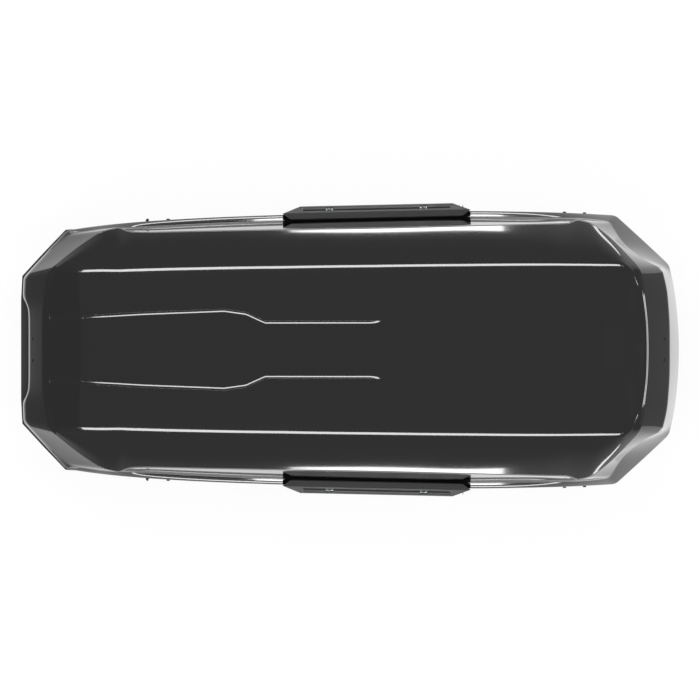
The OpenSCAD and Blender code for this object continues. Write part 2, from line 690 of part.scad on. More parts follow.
// A full ring: down the left side from nose to tail, then back up the right side
function base_full(h) = concat([for (p = h) [p[0], -p[1], p[2]]], [for (i = [len(h) - 2:-1:1]) h[i]]);
function flat_point(p, z) = [p[0], p[1], z];
function part_way(i, k) = rim_point(i) * (1 - k) + [kx * FLOOR[i][0], ky * FLOOR[i][1]] * k;
base_rows = [
    base_full([for (i = [0:base_half - 1]) flat_point(inwards(i, flange_w), rim_z + rim_v)]),
    base_full([for (i = [0:base_half - 1]) flat_point(rim_point(i), rim_z + rim_v)]),
    base_full([for (i = [0:base_half - 1]) flat_point(rim_point(i), rim_z + rim_v - 12)]),
    base_full([for (i = [0:base_half - 1]) flat_point(part_way(i, 0.3), rim_z * 0.5)]),
    base_full([for (i = [0:base_half - 1]) flat_point(part_way(i, 0.75), floor_z + 20)]),
    base_full([for (i = [0:base_half - 1]) flat_point(part_way(i, 1), floor_z)])
];
base_points = concat([for (r = base_rows) each r], [[0, 0, floor_z]]);
base_faces = concat(
    [for (r = [0:4]) each band(r * base_ring, (r + 1) * base_ring, base_ring)],
    [for (i = [0:base_ring - 1])
        [5 * base_ring + i, 5 * base_ring + (i + 1) % base_ring, 6 * base_ring]]);

slot_half_w = 6;
slot_len = 2 * (clamp_travel + bar_w / 2 + 20);
module floor_slots() {
    for (x = [-1, 1]) for (y = [-1, 1])
        block([x * bar_spacing / 2 - slot_len / 2, x * bar_spacing / 2 + slot_len / 2],
            [y * clamp_y - slot_half_w, y * clamp_y + slot_half_w], [-10, 60]);
}
module base_tub() {
    color("#1b1b1c") difference() {
        shell(base_points, base_faces, base_ring, wall, false);
        floor_slots();
    }
}
floor_rail_t = 3;
floor_rail_w = 60;
module floor_rail(s) {
    length = bar_spacing + slot_len + 60;
    color("#b9bcc1") on_side(s) difference() {
        block([-length / 2, length / 2], [clamp_y - floor_rail_w / 2, clamp_y + floor_rail_w / 2],
            [floor_top + seat, floor_top + seat + floor_rail_t]);
        floor_slots();
    }
}
pad_w = 40;
pad_off = 28;
module bar_pads() {
    length = slot_len - 20;
    color("#0f0f10") for (x = [-1, 1]) for (y = [-1, 1]) for (d = [-1, 1]) {
        mid = y * clamp_y + d * (pad_off + pad_w / 2);
        block([x * bar_spacing / 2 - length / 2, x * bar_spacing / 2 + length / 2],
            [mid - pad_w / 2, mid + pad_w / 2], [0, pad_t - seat]);
    }
}

// ---------- roof bar clamps ----------
// One clamp, drawn round its knob's axis, with the claws fully open

clamp_z = floor_top + seat + floor_rail_t + gap;
pocket_h = 22;
clamp_h = 30;
spindle_r = 8;
claw_t = 8;
claw_w = 40;
claw_foot = 20;
foot_t = 8;
scroll_r = 26;
clamp_half = bar_w / 2 + claw_t + 8 + 4;
module at_clamp(px, py) {
    translate([px * bar_spacing / 2, py * clamp_y, 0]) children();
}
module clamp(px, py) {
    color("#232326") at_clamp(px, py) {
        difference() {
            block([-clamp_half - 4, clamp_half + 4], [-scroll_r - 6, scroll_r + 6],
                [clamp_z, clamp_z + clamp_h]);
            block([-clamp_half, clamp_half], [-scroll_r - 0.8, scroll_r + 0.8],
                [clamp_z - 1, clamp_z + pocket_h]);
            cylinder(r = spindle_r + fit, h = through);
        }
        // the tongue that guides the clamp in the floor's slot
        block([-10, 10], [-scroll_r - 2, scroll_r + 2], [clamp_z, clamp_z + 3]);
        block([-10, 10], [-slot_half_w + gap, slot_half_w - gap], [floor_z + 0.5, clamp_z + 1]);
    }
}
module knob(px, py) {
    low = clamp_z + pocket_h - 5;
    knob_z = clamp_z + clamp_h + gap;
    color("#c8322b") at_clamp(px, py) {
        translate([0, 0, low]) cylinder(r = spindle_r, h = knob_z - low + 1);
        translate([0, 0, low]) cylinder(r = scroll_r, h = 4.7);
        difference() {
            translate([0, 0, knob_z]) cylinder(r = knob_r, h = 24);
            for (a = [0:45:315]) rotate(a) translate([knob_r + 5, 0, knob_z - 1]) cylinder(r = 9, h = 30);
            translate([0, 0, knob_z + 19]) cylinder(r = 12, h = 10);
        }
    }
}
module claw(px, py, d) {
    inner = bar_w / 2 + 1;
    foot_top = -bar_h - 1;
    color("#2a2a2d") at_clamp(px, py) mirror([d > 0 ? 0 : 1, 0, 0]) {
        block([inner - 4, inner + claw_t + 6], [-20, 20],
            [clamp_z + 0.5, clamp_z + pocket_h - 5 - gap]);
        block([inner, inner + claw_t], [-slot_half_w + gap, slot_half_w - gap],
            [foot_top - foot_t, clamp_z + 2]);
        block([inner, inner + claw_t], [-claw_w / 2, claw_w / 2], [foot_top - foot_t, -gap]);
        block([inner - claw_foot, inner + claw_t], [-claw_w / 2, claw_w / 2],
            [foot_top - foot_t, foot_top]);
    }
}

base_tub();
floor_rail(-1);  // left_floor_rail
floor_rail(1);  // right_floor_rail
bar_pads();
strikers(-1);  // left_strikers
strikers(1);  // right_strikers
clamp(-1, -1);  // front_left_clamp
knob(-1, -1);  // front_left_knob
claw(-1, -1, -1);  // front_left_fore_claw
claw(-1, -1, 1);  // front_left_aft_claw
clamp(-1, 1);  // front_right_clamp
knob(-1, 1);  // front_right_knob
claw(-1, 1, -1);  // front_right_fore_claw
claw(-1, 1, 1);  // front_right_aft_claw
clamp(1, -1);  // rear_left_clamp
knob(1, -1);  // rear_left_knob
claw(1, -1, -1);  // rear_left_fore_claw
claw(1, -1, 1);  // rear_left_aft_claw
clamp(1, 1);  // rear_right_clamp
knob(1, 1);  // rear_right_knob
claw(1, 1, -1);  // rear_right_fore_claw
claw(1, 1, 1);  // rear_right_aft_claw
hinge_rail(-1);  // left_hinge_rail
hinge_rail(1);  // right_hinge_rail
rail_pins(-1);  // left_rail_pins
rail_pins(1);  // right_rail_pins
lifter_mounts(-1);  // left_lifter_mounts
lifter_mounts(1);  // right_lifter_mounts
lifter_springs(-1);  // left_lifter_springs
lifter_springs(1);  // right_lifter_springs
lifter_arms(-1);  // left_lifter_arms
lifter_arms(1);  // right_lifter_arms
lifter_rollers(-1);  // left_lifter_rollers
lifter_rollers(1);  // right_lifter_rollers
lock_bar(-1);  // left_lock_bar
lock_bar(1);  // right_lock_bar
lock_barrel(-1);  // left_lock_barrel
lock_barrel(1);  // right_lock_barrel
lid_shell();
stiffener(stiffener_x[0]);  // front_stiffener
stiffener(stiffener_x[1]);  // centre_stiffener
stiffener(stiffener_x[2]);  // rear_stiffener
nose_bracket();
tail_bracket();
lid_rivets();
hinge_bosses(-1);  // left_hinge_bosses
hinge_bosses(1);  // right_hinge_bosses
slot_plates(-1);  // left_slot_plates
slot_plates(1);  // right_slot_plates
handle_housing(-1);  // left_handle_housing
handle_housing(1);  // right_handle_housing
handle_grip(-1);  // left_handle_grip
handle_grip(1);  // right_handle_grip
handle_pin(-1);  // left_handle_pin
handle_pin(1);  // right_handle_pin
handle_springs(-1);  // left_handle_springs
handle_springs(1);  // right_handle_springs
lock_sleeve(-1);  // left_lock_sleeve
lock_sleeve(1);  // right_lock_sleeve
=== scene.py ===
"""Roof cargo box: gloss lid, grained base, fittings, and a plain pale studio.

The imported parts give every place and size. The lid is made again here as a smooth shell, the
base and the fittings get eased edges, and each finish is named for the real material.
"""
import json
import math

import bmesh
import bpy
from mathutils import Matrix, Vector


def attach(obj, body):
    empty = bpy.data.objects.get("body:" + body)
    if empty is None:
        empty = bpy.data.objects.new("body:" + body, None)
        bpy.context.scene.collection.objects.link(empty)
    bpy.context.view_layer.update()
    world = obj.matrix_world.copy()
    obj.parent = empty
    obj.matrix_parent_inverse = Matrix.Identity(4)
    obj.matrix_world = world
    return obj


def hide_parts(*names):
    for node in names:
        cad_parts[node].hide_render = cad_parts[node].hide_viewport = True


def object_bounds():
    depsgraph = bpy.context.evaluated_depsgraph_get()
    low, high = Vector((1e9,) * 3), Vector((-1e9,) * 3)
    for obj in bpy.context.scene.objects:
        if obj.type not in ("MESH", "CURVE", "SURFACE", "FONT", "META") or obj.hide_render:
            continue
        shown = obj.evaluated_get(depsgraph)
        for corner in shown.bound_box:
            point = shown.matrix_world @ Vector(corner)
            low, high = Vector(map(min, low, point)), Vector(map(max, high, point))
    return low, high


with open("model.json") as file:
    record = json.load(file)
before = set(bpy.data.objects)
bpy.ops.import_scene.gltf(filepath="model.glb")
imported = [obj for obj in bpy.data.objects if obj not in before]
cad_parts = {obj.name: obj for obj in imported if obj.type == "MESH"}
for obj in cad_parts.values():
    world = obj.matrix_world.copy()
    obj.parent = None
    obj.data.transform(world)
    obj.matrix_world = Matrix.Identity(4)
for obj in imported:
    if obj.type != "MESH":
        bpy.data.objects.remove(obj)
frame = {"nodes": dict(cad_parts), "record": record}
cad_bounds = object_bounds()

MM = 0.001
CAD = frame["nodes"]
SLOT_OF = {part["node"]: part["material_slot"] for part in frame["record"]["subparts"]}
BODY_OF = {
    node: body
    for body, nodes in frame["record"]["behaviour"]["bodies"].items()
    for node in nodes
}

# ---------- small tools ----------


def add(tree, kind, values=None, links=None):
    """Adds one node to a tree, sets its options and sockets, and joins its inputs."""
    node = tree.nodes.new(kind)
    for key, value in (values or {}).items():
        if isinstance(key, str) and hasattr(node, key):
            setattr(node, key, value)
        else:
            node.inputs[key].default_value = value
    for key, socket in (links or {}).items():
        tree.links.new(socket, node.inputs[key])
    return node


def colour(hex_code):
    """An sRGB hex value as the linear colour that the shaders take."""
    steps = [int(hex_code[i:i + 2], 16) / 255 for i in (1, 3, 5)]
    return [s / 12.92 if s <= 0.04045 else ((s + 0.055) / 1.055) ** 2.4 for s in steps] + [1.0]


def new_object(name, points, faces):
    """A mesh object from points in millimetres, with its place in its mesh."""
    mesh = bpy.data.meshes.new(name)
    mesh.from_pydata([[c * MM for c in p] for p in points], [], faces)
    piece = bpy.data.objects.new(name, mesh)
    bpy.context.scene.collection.objects.link(piece)
    return piece


def clean(piece, sharp_angle, merge=0.01):
    """Merges doubles, turns the faces outwards, and shades smooth below an angle."""
    work = bmesh.new()
    work.from_mesh(piece.data)
    bmesh.ops.remove_doubles(work, verts=work.verts, dist=merge * MM)
    bmesh.ops.recalc_face_normals(work, faces=work.faces)
    work.to_mesh(piece.data)
    work.free()
    piece.data.shade_smooth()
    piece.data.set_sharp_from_angle(angle=math.radians(sharp_angle))


def apply_modifiers(piece):
    """Turns a piece and its modifiers into one plain mesh."""
    graph = bpy.context.evaluated_depsgraph_get()
    done = bpy.data.meshes.new_from_object(piece.evaluated_get(graph))
    piece.modifiers.clear()
    piece.data = done


def dress(piece, body, slot, finish, *nodes):
    """Gives a finished piece its material, its body and the nodes it stands for; the slot is not
    used.
    """
    piece.data.materials.clear()
    piece.data.materials.append(finish)
    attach(piece, body)
    if nodes:
        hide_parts(*nodes)


def lookup(x, table):
    """Straight-line value from a table of [place, value] rows."""
    if x <= table[0][0]:
        return table[0][1]
    for (a, va), (b, vb) in zip(table, table[1:]):
        if x <= b:
            return va + (vb - va) * (x - a) / (b - a)
    return table[-1][1]


def mix(a, b, t):
    """The point a share t of the way from a to b."""
    return [p + (q - p) * t for p, q in zip(a, b)]


# ---------- finishes ----------


def surface(name, base, rough, **sockets):
    """A material with its Principled shader, and the object coordinates for its patterns."""
    finish = bpy.data.materials.new(name)
    finish.use_nodes = True
    tree = finish.node_tree
    shader = tree.nodes["Principled BSDF"]
    shader.inputs["Base Color"].default_value = colour(base)
    shader.inputs["Roughness"].default_value = rough
    for key, value in sockets.items():
        shader.inputs[key.replace("_", " ").title().replace("Ior", "IOR")].default_value = value
    place = add(tree, "ShaderNodeTexCoord").outputs["Object"]
    return finish, tree, shader, place


def raise_grain(tree, shader, height, strength, depth_mm):
    """Joins a height to the shader as a bump of a real depth."""
    bump = add(tree, "ShaderNodeBump", {"Strength": strength, "Distance": depth_mm * MM},
               {"Height": height})
    tree.links.new(bump.outputs["Normal"], shader.inputs["Normal"])


def vary(tree, shader, socket, factor, low, high):
    """Lets a pattern move one value of the shader between two limits."""
    span = add(tree, "ShaderNodeMapRange", {"To Min": low, "To Max": high}, {"Value": factor})
    tree.links.new(span.outputs["Result"], shader.inputs[socket])


def gloss_abs():
    """ABS sheet with an acrylic cap, thermoformed: deep black gloss with a faint orange peel."""
    finish, tree, shader, place = surface("abs_gloss_thermoformed", "#0a0a0b", 0.12, ior=1.53)
    shader.inputs["Coat Weight"].default_value = 1.0
    shader.inputs["Coat Roughness"].default_value = 0.05
    shader.inputs["Coat IOR"].default_value = 1.49
    peel = add(tree, "ShaderNodeTexNoise", {"Scale": 1 / (9 * MM), "Detail": 1.0},
               {"Vector": place})
    raise_grain(tree, shader, peel.outputs["Fac"], 0.12, 0.01)
    haze = add(tree, "ShaderNodeTexNoise", {"Scale": 1 / (160 * MM), "Detail": 4.0},
               {"Vector": place})
    vary(tree, shader, "Roughness", haze.outputs["Fac"], 0.07, 0.12)
    return finish


def grained(name, base, rough, grain_mm, depth_mm, spread=0.08, ior=1.5):
    """Plastic from a grained mould: pebbled cells that break up the gloss."""
    finish, tree, shader, place = surface(name, base, rough, ior=ior)
    cells = add(tree, "ShaderNodeTexVoronoi", {"Scale": 1 / (grain_mm * MM), "Randomness": 0.9},
                {"Vector": place})
    raise_grain(tree, shader, cells.outputs["Distance"], 0.6, depth_mm)
    worn = add(tree, "ShaderNodeTexNoise", {"Scale": 1 / (90 * MM), "Detail": 3.0},
               {"Vector": place})
    vary(tree, shader, "Roughness", worn.outputs["Fac"], rough - spread, rough + spread)
    return finish


def drawn_metal(name, base, rough, line_mm, along, metallic=1.0):
    """Metal with fine lines along one direction, from rolling, drawing or extrusion."""
    finish, tree, shader, place = surface(name, base, rough, metallic=metallic)
    turned = add(tree, "ShaderNodeMapping", {"Scale": along}, {"Vector": place})
    lines = add(tree, "ShaderNodeTexNoise", {"Scale": 1 / (line_mm * MM), "Detail": 2.0},
                {"Vector": turned.outputs["Vector"]})
    raise_grain(tree, shader, lines.outputs["Fac"], 0.25, 0.02)
    vary(tree, shader, "Roughness", lines.outputs["Fac"], rough - 0.07, rough + 0.07)
    return finish


LENGTHWISE = (0.02, 1.0, 1.0)
EVERY_WAY = (1.0, 1.0, 1.0)

FINISHES = {
    "lid_abs": gloss_abs(),
    # ABS from a grained mould: dull, pebbled black
    "base_abs": grained("abs_grained_thermoformed", "#101011", 0.55, 3.2, 0.12),
    # Steel strip with a bright zinc plating and rolling lines
    "floor_steel": drawn_metal("steel_zinc_plated_strip", "#b4b7ba", 0.34, 0.8, LENGTHWISE),
    # EPDM rubber, moulded: dead black with a soft sheen
    "pad_rubber": grained("rubber_epdm_moulded", "#0c0c0c", 0.75, 1.6, 0.05),
    # Steel with bright zinc plating: a cool, slightly mottled grey
    "plated_steel": drawn_metal("steel_zinc_plated", "#bcc0c4", 0.3, 1.5, EVERY_WAY),
    # Oil-tempered spring wire: darker grey with drawing lines
    "spring_steel": drawn_metal("steel_spring_wire", "#84878b", 0.3, 0.6, EVERY_WAY),
    # Extruded aluminium, black anodised: satin with long die lines
    "rail_aluminium": drawn_metal("aluminium_anodised_extruded", "#232325", 0.38, 1.0, LENGTHWISE),
    # Powder-coated steel: satin black with a fine orange peel
    "bracket_steel": grained("steel_powder_coated", "#1a1a1b", 0.42, 1.8, 0.03),
    # Extruded aluminium as it leaves the mill: soft grey with long lines
    "stiffener_aluminium": drawn_metal("aluminium_mill_finish", "#b9babc", 0.36, 1.0, LENGTHWISE),
    # Glass-filled nylon, moulded: dark, slightly cloudy
    "boss_nylon": grained("nylon_glass_filled", "#202022", 0.5, 1.2, 0.03),
    # Acetal, machined and moulded white: smooth and waxy
    "roller_acetal": grained("acetal_moulded_white", "#dcdad4", 0.35, 2.5, 0.01),
    # Die-cast zinc with nickel plating: bright and warm
    "lock_zinc": drawn_metal("zinc_nickel_plated", "#c9c7c2", 0.2, 2.0, EVERY_WAY),
    # Nylon, moulded with a satin texture: near black
    "handle_nylon": grained("nylon_satin_moulded", "#0b0b0c", 0.44, 1.0, 0.02),
    # Nylon rivet head, moulded black
    "rivet_black": grained("nylon_rivet_moulded", "#0a0a0a", 0.45, 1.0, 0.02),
    # Glass-filled nylon of the clamps, moulded black with a dull grain
    "clamp_nylon": grained("nylon_clamp_moulded", "#151516", 0.55, 1.4, 0.05),
    # Grey nylon of the knobs
    "knob_nylon": grained("nylon_knob_moulded", "#6c6d70", 0.45, 1.2, 0.04),
}

for name, node in CAD.items():
    for face_slot in node.material_slots:
        face_slot.material = FINISHES[SLOT_OF[name]]

# ---------- lid ----------

# Rows of the lid from its lower edge to the crease of the top, each a half outline from the
# nose's centre round one side to the tail's centre: [station, x, y, height above the hinges,
# ease]. The ease is the share of the way to the next station over which a corner is rounded.
RIM_Z = 162
SKIRT_LOW = -14
SKIRT_TOP = 16
EDGE = [
    [0, -1029, 0, 0, 0.5], [1, -1029, 100, 0, 0.4], [2, -1031, 133, 0, 0.4],
    [3, -1046, 169, 0, 0.3], [4, -1043, 232, 0, 0.15], [5, -975, 306, 0, 0.4],
    [6, -905, 382, 0, 0.12], [7, -800, 398, 0, 0.5], [8, -660, 411, 0, 0.5],
    [9, -463, 423, 0, 0.5], [10, -216, 432, 0, 0.5], [11, 84, 439, 0, 0.5],
    [12, 384, 445, 0, 0.5], [13, 600, 441, 0, 0.5], [14, 730, 437, 0, 0.5],
    [15, 847, 430, 0, 0.12], [16, 935, 350, 0, 0.4], [17, 1018, 272, 0, 0.16],
    [18, 1036, 193, 0, 0.5], [19, 1046, 102, 0, 0.5], [20, 1049, 50, 0, 0.5],
    [21, 1050, 0, 0, 0.5],
]
FLARE = [
    [0, -1022, 0, 38, 0.5], [1, -1022, 99, 38, 0.4], [2, -1024, 131, 38, 0.4],
    [3, -1037, 166, 38, 0.4], [4, -1033, 233, 38, 0.2], [5, -966, 304, 34, 0.4],
    [6, -893, 370, 30, 0.2], [7, -784, 386, 36, 0.5], [7.4, -718, 388, 36, 0.4],
    [8, -660, 388, 34, 0.5],
    [9, -463, 399, 34, 0.5], [10, -216, 408, 34, 0.5], [11, 84, 415, 34, 0.5],
    [12, 384, 421, 34, 0.5], [13, 600, 417, 34, 0.5], [14, 728, 420, 40, 0.5],
    [15, 826, 408, 60, 0.15], [16, 868, 335, 110, 0.4], [17, 932, 286, 150, 0.3],
    [17.4, 990, 258, 160, 0.3], [18, 1006, 190, 168, 0.5], [19, 1013, 101, 171, 0.5],
    [20, 1014, 50, 172, 0.5], [21, 1014, 0, 172, 0.5],
]
SHOULDER = [
    [0, -979, 0, 112, 0.5], [1, -979, 94, 112, 0.4], [2, -977, 130, 110, 0.4],
    [3, -972, 178, 110, 0.4], [4, -958, 252, 116, 0.25], [5, -865, 328, 110, 0.4],
    [6, -788, 379, 104, 0.4], [7, -735, 391, 100, 0.3], [7.4, -706, 377, 118, 0.45],
    [8, -655, 374, 128, 0.5], [9, -463, 378, 152, 0.5], [10, -216, 382, 172, 0.5],
    [11, 84, 386, 184, 0.5], [12, 384, 394, 188, 0.5], [13, 600, 400, 180, 0.5],
    [13.8, 694, 402, 170, 0.4], [14.2, 720, 415, 160, 0.4], [15, 766, 404, 165, 0.4],
    [16, 837, 346, 192, 0.4], [17, 905, 272, 228, 0.3], [17.3, 920, 250, 240, 0.4],
    [18, 931, 190, 247, 0.5], [19, 942, 98, 250, 0.5], [20, 944, 50, 250, 0.5],
    [21, 945, 0, 250, 0.5],
]
CREASE = [
    [0, -962, 0, 117, 0.5], [1, -962, 90, 117, 0.4], [2, -960, 126, 115, 0.4],
    [3, -955, 174, 115, 0.4], [4, -934, 248, 124, 0.2], [5, -861, 252, 150, 0.5],
    [6, -790, 255, 168, 0.5], [7, -735, 256, 180, 0.5], [8, -660, 258, 193, 0.5],
    [9, -463, 262, 216, 0.5], [10, -216, 266, 240, 0.5], [11, 84, 270, 255, 0.5],
    [12, 384, 273, 262, 0.5], [13, 600, 275, 262, 0.5], [14, 708, 275, 259, 0.5],
    [15, 800, 274, 254, 0.4], [16, 866, 273, 250, 0.4], [17, 896, 250, 249, 0.3],
    [18, 914, 188, 249, 0.5], [19, 928, 98, 251, 0.5], [20, 930, 50, 251, 0.5],
    [21, 931, 0, 251, 0.5],
]
LAST = 21
# Where the rows across the top of the nose and the tail meet the centre line
SPINE = [[0, -910], [2, -900], [4, -870], [5, -835], [6, -790], [14, 708], [15, 780],
         [16, 830], [18, 870], [21, 890]]
# Half distance between the two ridges, and how much of their height is left, along the lid
RIDGE = [[-1000, 97], [-662, 116], [-400, 126], [-330, 116], [-270, 88], [110, 88], [960, 98]]
RIDGE_SHARE = [[-982, 0], [-968, 1], [70, 1], [112, 0]]
RIDGE_H = 3.4
RIDGE_W = 14
# Places across a ridge's edge at which it is sampled, from outside its foot to its top
RIDGE_STEPS = [11, 7, 4.2, 3.6, 3.5, 3.1, 2, 0.5, -1, -2.5, -4, -5.5, -7, -8.5, -10, -11.2]
CROWN = 20
CROWN_SHARE = [[-980, 0], [-860, 0.5], [-720, 1], [800, 1], [945, 0.1]]
# How far each crease is cut back before it is rounded, along the stations
SKIRT_CUT = [[0, 3]]
FLARE_CUT = [[0, 8], [4, 5], [7, 6], [14, 6], [16, 5], [18, 8], [21, 10]]
SHOULDER_CUT = [[0, 20], [3, 16], [4, 4], [7, 6], [8, 5], [14, 5], [15, 4], [17, 4], [18, 3]]
CREASE_CUT = [[0, 8], [3.6, 8], [4.2, 10], [5, 13], [14, 13], [16, 13], [17, 4], [18, 3]]
# Shares of a span at which a station span is sampled, closer together at its ends
SPAN = [0, 0.04, 0.08, 0.13, 0.2, 0.32, 0.5, 0.68, 0.8, 0.87, 0.92, 0.96]
SIDE_CREASE = [knot for knot in CREASE if 4 <= knot[0] <= 17]
WIDTH_AT = [[k[1], k[2]] for k in SIDE_CREASE]
HEIGHT_AT = [[-980, 110]] + [[k[1], k[3]] for k in SIDE_CREASE] + [[945, 248]]


def along(row, place):
    """The point at a place on a row of stations, with each corner rounded over its ease."""
    last = len(row) - 1
    near = min(range(len(row)), key=lambda i: abs(row[i][0] - place))
    knot = row[near]
    before = row[near - 1] if near > 0 else [-row[1][0], row[1][1], -row[1][2], row[1][3]]
    after = row[near + 1] if near < last else [
        2 * LAST - row[last - 1][0], row[last - 1][1], -row[last - 1][2], row[last - 1][3]]
    back = (knot[0] - before[0]) * knot[4]
    ahead = (after[0] - knot[0]) * knot[4]
    reach = min(back, ahead)
    offset = place - knot[0]
    if abs(offset) >= reach:
        other, span = (after, after[0] - knot[0]) if offset > 0 else (before, knot[0] - before[0])
        return mix(knot[1:4], other[1:4], abs(offset) / span)
    start = mix(knot[1:4], before[1:4], reach / (knot[0] - before[0]))
    end = mix(knot[1:4], after[1:4], reach / (after[0] - knot[0]))
    t = (offset + reach) / (2 * reach)
    return mix(mix(start, knot[1:4], t), mix(knot[1:4], end, t), t)


def top_height(x, y):
    """Height of the lid's top above the hinges, with its crown and ridges."""
    share = min(1.0, abs(y) / lookup(x, WIDTH_AT))
    crown = CROWN * lookup(x, CROWN_SHARE) * (1 - share * share)
    fall = min(1.0, max(0.0, (abs(y) - lookup(x, RIDGE)) / RIDGE_W + 0.75))
    step = 1 - fall * fall if fall < 1 else 0
    return lookup(x, HEIGHT_AT) + crown + RIDGE_H * lookup(x, RIDGE_SHARE) * step


def round_corner(a, b, c, cut, steps):
    """Points of a rounding at b, which starts a cut away from it towards a and c."""
    before = math.dist(a, b)
    after = math.dist(b, c)
    reach = min(cut, before * 0.45, after * 0.45)
    if reach < 1e-6:
        return [list(b)] * (steps + 1)
    start = mix(b, a, reach / before)
    end = mix(b, c, reach / after)
    shares = [i / steps for i in range(steps + 1)]
    return [mix(mix(start, b, t), mix(b, end, t), t) for t in shares]


def panel(a, b, count, swell):
    """Points between a and b, with two close to the ends, pushed out by a slight swell."""
    flat = math.hypot(b[0] - a[0], b[1] - a[1])
    length = math.dist(a, b)
    if length < 1e-6:
        return [list(a)] * (count + 2)
    out = [(a[0] - b[0]) / max(flat, 1e-6), (a[1] - b[1]) / max(flat, 1e-6)]
    rise = (b[2] - a[2]) / length
    lean = flat / length
    shares = [0.03] + [(i + 1) / (count + 1) for i in range(count)] + [0.97]
    points = []
    for t in shares:
        p = mix(a, b, t)
        push = swell * 4 * t * (1 - t)
        points.append([p[0] + out[0] * rise * push, p[1] + out[1] * rise * push,
                       p[2] + lean * push])
    return points


def lid_section(place):
    """One line over the lid's skin at a station, from its lower edge to the centre line."""
    edge = along(EDGE, place)
    ahead = along(EDGE, min(LAST, place + 0.01))
    behind = along(EDGE, max(0, place - 0.01))
    run = [ahead[0] - behind[0], ahead[1] - behind[1]]
    size = math.hypot(*run)
    inward = [run[1] / size, -run[0] / size]
    low = [edge[0], edge[1], SKIRT_LOW]
    skirt = [edge[0] + 1.5 * inward[0], edge[1] + 1.5 * inward[1], SKIRT_TOP]
    flare = along(FLARE, place)
    shoulder = along(SHOULDER, place)
    crease = along(CREASE, place)
    spine_x = crease[0] if 6 <= place <= 14 else lookup(place, SPINE)
    lift = crease[2] - top_height(crease[0], crease[1])

    def top(share):
        x = spine_x + (crease[0] - spine_x) * share
        y = crease[1] * share
        return [x, y, top_height(x, y) + lift * share * share]

    inner = top(0.85)
    corners = [low, skirt, flare, shoulder, crease, inner]
    cuts = [0, lookup(place, SKIRT_CUT), lookup(place, FLARE_CUT),
            lookup(place, SHOULDER_CUT), lookup(place, CREASE_CUT)]
    rounds = [[low]] + [
        round_corner(corners[i - 1], corners[i], corners[i + 1], cuts[i], 6) for i in range(1, 5)]
    swells = [0, 0.6, 0.8, lookup(place, [[3, 0], [5, 3], [15, 3], [17, 1]])]
    counts = [1, 3, 4, 7]
    line = list(rounds[0])
    for i in range(4):
        line += panel(rounds[i][-1], rounds[i + 1][0], counts[i], swells[i]) + rounds[i + 1]
    begin = 1 - math.dist(line[-1], crease) / max(math.dist(crease, top(0)), 1e-6)
    width = max(crease[1], 1e-6)
    ridge = 0.4
    for _ in range(6):
        ridge = min(0.8, lookup(spine_x + (crease[0] - spine_x) * ridge, RIDGE) / width)
    steps = [d * min(1, 0.009 * width) / width for d in RIDGE_STEPS]
    shares = [begin + (ridge + steps[0] - begin) * i / 8 for i in range(1, 8)]
    shares += [ridge + step for step in steps]
    shares += [(ridge + steps[-1]) * (1 - i / 7) for i in range(1, 8)]
    line += [top(s) for s in shares]
    return [[p[0], p[1], p[2] + RIM_Z] for p in line]


def mirrored_skin(sections):
    """Faces over a row of sections on the right side, and the same on the left."""
    count = len(sections[0])
    points = [p for line in sections for p in line]
    left = [[p[0], -p[1], p[2]] for p in points]
    faces = []
    for i in range(len(sections) - 1):
        for k in range(count - 1):
            a = i * count + k
            faces.append([a, a + count, a + count + 1, a + 1])
    shift = len(points)
    faces += [[shift + v for v in reversed(face)] for face in faces]
    return points + left, faces


def make_lid():
    """The lid: one smooth skin, given the sheet's thickness inwards."""
    places = [i + s for i in range(LAST) for s in SPAN] + [LAST]
    places = sorted(places + [9 + i / 36 for i in range(1, 36)])
    lid = new_object("lid_skin", *mirrored_skin([lid_section(p) for p in places]))
    clean(lid, 60, merge=0.02)
    wall = lid.modifiers.new("wall", "SOLIDIFY")
    wall.thickness = 3.5 * MM
    wall.offset = -1
    apply_modifiers(lid)
    lid.data.set_sharp_from_angle(angle=math.radians(60))
    return lid


dress(make_lid(), "lid", "lid_abs", FINISHES["lid_abs"], "lid_shell")

# ---------- fittings ----------


def ease(node, width):
    """Stands a copy with rounded edges in for a CAD node."""
    work = bmesh.new()
    work.from_mesh(CAD[node].data)
    bmesh.ops.remove_doubles(work, verts=work.verts, dist=0.005 * MM)
    bmesh.ops.dissolve_limit(work, verts=work.verts, edges=work.edges,
                             angle_limit=math.radians(0.5))
    piece = new_object(node + "_eased", [], [])
    work.to_mesh(piece.data)
    work.free()
    edge = piece.modifiers.new("edge", "BEVEL")
    edge.width = width * MM
    edge.segments = 2
    edge.limit_method = "ANGLE"
    edge.angle_limit = math.radians(35)
    apply_modifiers(piece)
    piece.data.shade_smooth()
    piece.data.set_sharp_from_angle(angle=math.radians(40))
    piece.modifiers.new("even", "WEIGHTED_NORMAL").keep_sharp = True
    apply_modifiers(piece)
    dress(piece, BODY_OF[node], SLOT_OF[node], FINISHES[SLOT_OF[node]], node)


def solids_of(node):
    """The separate solids of a CAD node, each as its corner points."""
    work = bmesh.new()
    work.from_mesh(CAD[node].data)
    bmesh.ops.remove_doubles(work, verts=work.verts, dist=0.005 * MM)
    left = set(work.verts)
    solids = []
    while left:
        group = [left.pop()]
        for vert in group:
            for edge in vert.link_edges:
                other = edge.other_vert(vert)
                if other in left:
                    left.remove(other)
                    group.append(other)
        solids.append([vert.co.copy() for vert in group])
    work.free()
    return solids


def repeat_tree(name, sizes):
    """A tree that sets a shape on each point, turned to the point's direction."""
    tree = bpy.data.node_groups.new(name, "GeometryNodeTree")
    tree.interface.new_socket("Points", in_out="INPUT", socket_type="NodeSocketGeometry")
    for size in sizes:
        tree.interface.new_socket(size, in_out="INPUT", socket_type="NodeSocketFloat")
    tree.interface.new_socket("Shape", in_out="OUTPUT", socket_type="NodeSocketGeometry")
    return tree, add(tree, "NodeGroupInput").outputs


